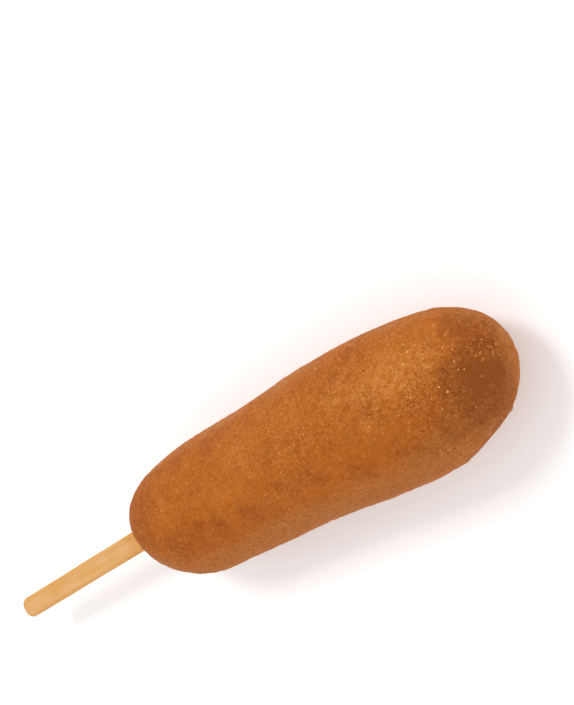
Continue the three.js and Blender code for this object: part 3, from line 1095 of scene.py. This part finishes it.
def wood_material():
    shade = Shade("stick_birch")
    # Noise drawn out along the stick.
    lines = shade.noise(shade.place((0.03, 5.0, 5.0)), 1.0, 3, 0.6)
    masks = {
        "edge": shade.attribute("edge"),
        "greasy": shade.attribute("greasy"),
        "clouds": shade.noise_mask(shade.place((0.12, 0.45, 0.45)), 1.0, 3, 0.6, 0.36, 0.66),
        "grain": shade.noise_mask(shade.place((0.05, 1.6, 1.6)), 1.0, 4, 0.6, 0.45, 0.7),
        "flecks": shade.noise_mask(shade.place((0.5, 9.0, 9.0)), 1.0, 2, 0.5, 0.66, 0.78),
        "lines": shade.remap(lines, 0.52, 0.75),
        "spots": shade.spots(shade.place(), 0.8, 0.5, 0.22),
    }
    first, second = WOOD_COLOURS
    tint = shade.blend(masks["clouds"], colour(*first), colour(*second))
    tint = shade.layers(tint, masks, WOOD_LAYERS)
    return shade.finish(tint, 0.62, 0.2, lines, WOOD_BUMP)


def floor_material():
    shade = Shade("pale_floor")
    first, second = FLOOR_COLOURS
    tint = shade.blend(shade.noise(shade.place(), FLOOR_CLOUDS), colour(*first), colour(*second))
    return shade.finish(tint, 0.9, 0.1, glow=FLOOR_GLOW)


# ---- stage ----


def look_rotation(azimuth, elevation, roll):
    """A camera's turn: where it stands round the object, how high, and its roll about its own axis."""
    a, e = math.radians(azimuth), math.radians(elevation)
    back = Vector((math.sin(a) * math.cos(e), -math.cos(a) * math.cos(e), math.sin(e)))
    return (-back).to_track_quat("-Z", "Y") @ Quaternion((0, 0, 1), math.radians(roll))


def make_camera():
    camera = bpy.data.objects.new("camera", bpy.data.cameras.new("camera"))
    bpy.context.collection.objects.link(camera)
    camera.data.lens = FOCAL_LENGTH
    camera.data.sensor_width = SENSOR_SIZE
    camera.data.clip_start = NEAREST_SEEN * MM
    camera.data.clip_end = FARTHEST_SEEN * MM
    camera.location = Vector(CAMERA_PLACE) * MM
    camera.rotation_mode = "QUATERNION"
    camera.rotation_quaternion = look_rotation(CAMERA_AZIMUTH, CAMERA_ELEVATION, CAMERA_ROLL)
    bpy.context.scene.camera = camera


def make_light(name, direction, distance, size, power):
    """A square soft box that faces the middle of the object."""
    light = bpy.data.objects.new(name, bpy.data.lights.new(name, "AREA"))
    bpy.context.collection.objects.link(light)
    towards = Vector(direction).normalized()
    light.location = towards * distance * MM
    light.rotation_mode = "QUATERNION"
    light.rotation_quaternion = towards.to_track_quat("Z", "Y")
    light.data.shape = "SQUARE"
    light.data.size = size * MM
    light.data.energy = power


def floor_rings():
    """The radius and the height of each ring of the floor, from its flat middle up its soft wall."""
    turns = np.linspace(0, math.pi / 2, FLOOR_BEND_STEPS)[1:]
    rings = [(FLOOR_FLAT * share, 0.0) for share in FLOOR_RINGS]
    rings += [(FLOOR_FLAT + FLOOR_BEND * math.sin(t), FLOOR_BEND * (1 - math.cos(t))) for t in turns]
    return rings


def make_floor():
    """A wide round floor that rises into a soft wall, so no edge or horizon shows."""
    rings = floor_rings()
    points = [(0.0, 0.0, -FLOOR_DROP)]
    for radius, lift in rings:
        for side in range(FLOOR_SIDES):
            angle = 2 * math.pi * side / FLOOR_SIDES
            points.append((radius * math.cos(angle), radius * math.sin(angle), lift - FLOOR_DROP))
    faces = [(0, 1 + side, 1 + (side + 1) % FLOOR_SIDES) for side in range(FLOOR_SIDES)]
    for ring in range(len(rings) - 1):
        low = 1 + ring * FLOOR_SIDES
        high = low + FLOOR_SIDES
        for side in range(FLOOR_SIDES):
            after = (side + 1) % FLOOR_SIDES
            faces.append((low + side, high + side, high + after, low + after))
    mesh = bpy.data.meshes.new("floor")
    mesh.from_pydata((np.array(points) * MM).tolist(), [], faces)
    mesh.shade_smooth()
    mesh.materials.append(floor_material())
    floor = bpy.data.objects.new("floor", mesh)
    bpy.context.collection.objects.link(floor)


def make_world():
    world = bpy.data.worlds.new("studio")
    bpy.context.scene.world = world
    world.use_nodes = True
    background = world.node_tree.nodes["Background"]
    background.inputs["Color"].default_value = WHITE
    background.inputs["Strength"].default_value = WORLD_STRENGTH


# ---- the scene ----

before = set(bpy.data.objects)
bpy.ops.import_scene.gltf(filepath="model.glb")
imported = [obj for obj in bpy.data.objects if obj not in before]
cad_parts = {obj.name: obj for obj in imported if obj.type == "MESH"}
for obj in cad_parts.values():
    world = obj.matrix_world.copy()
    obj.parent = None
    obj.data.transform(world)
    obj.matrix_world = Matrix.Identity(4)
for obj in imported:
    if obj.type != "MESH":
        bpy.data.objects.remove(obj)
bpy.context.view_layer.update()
make_camera()

stick_facts = measure_stick(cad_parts["stick"])
crust_mesh = make_crust(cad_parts["batter"], stick_facts)
crust_mesh.materials.append(crust_material())
new_piece("crust", crust_mesh, "batter")
crust_surface = surface_of(crust_mesh, Matrix())

stick_mesh = make_stick(stick_facts)
stick_mesh.materials.append(wood_material())
stick_place = Matrix.Translation(stick_facts["origin"]) @ Matrix(stick_facts["axes"]).transposed().to_4x4()
stick_surface = surface_of(stick_mesh, stick_place)

for name, mesh, material in (
    ("cornmeal_grains", make_grains(crust_mesh, crust_surface), grain_material()),
    ("golden_crumbs", make_crumbs(crust_surface), crumb_material()),
    ("browned_specks", make_specks(crust_mesh, crust_surface, stick_facts, stick_surface), speck_material()),
):
    mesh.materials.append(material)
    new_piece(name, mesh)

new_piece("wooden_stick", stick_mesh, "stick", stick_place)

make_floor()
make_world()
make_light("key", **KEY_LIGHT)
bpy.context.scene.view_settings.view_transform = "Standard"
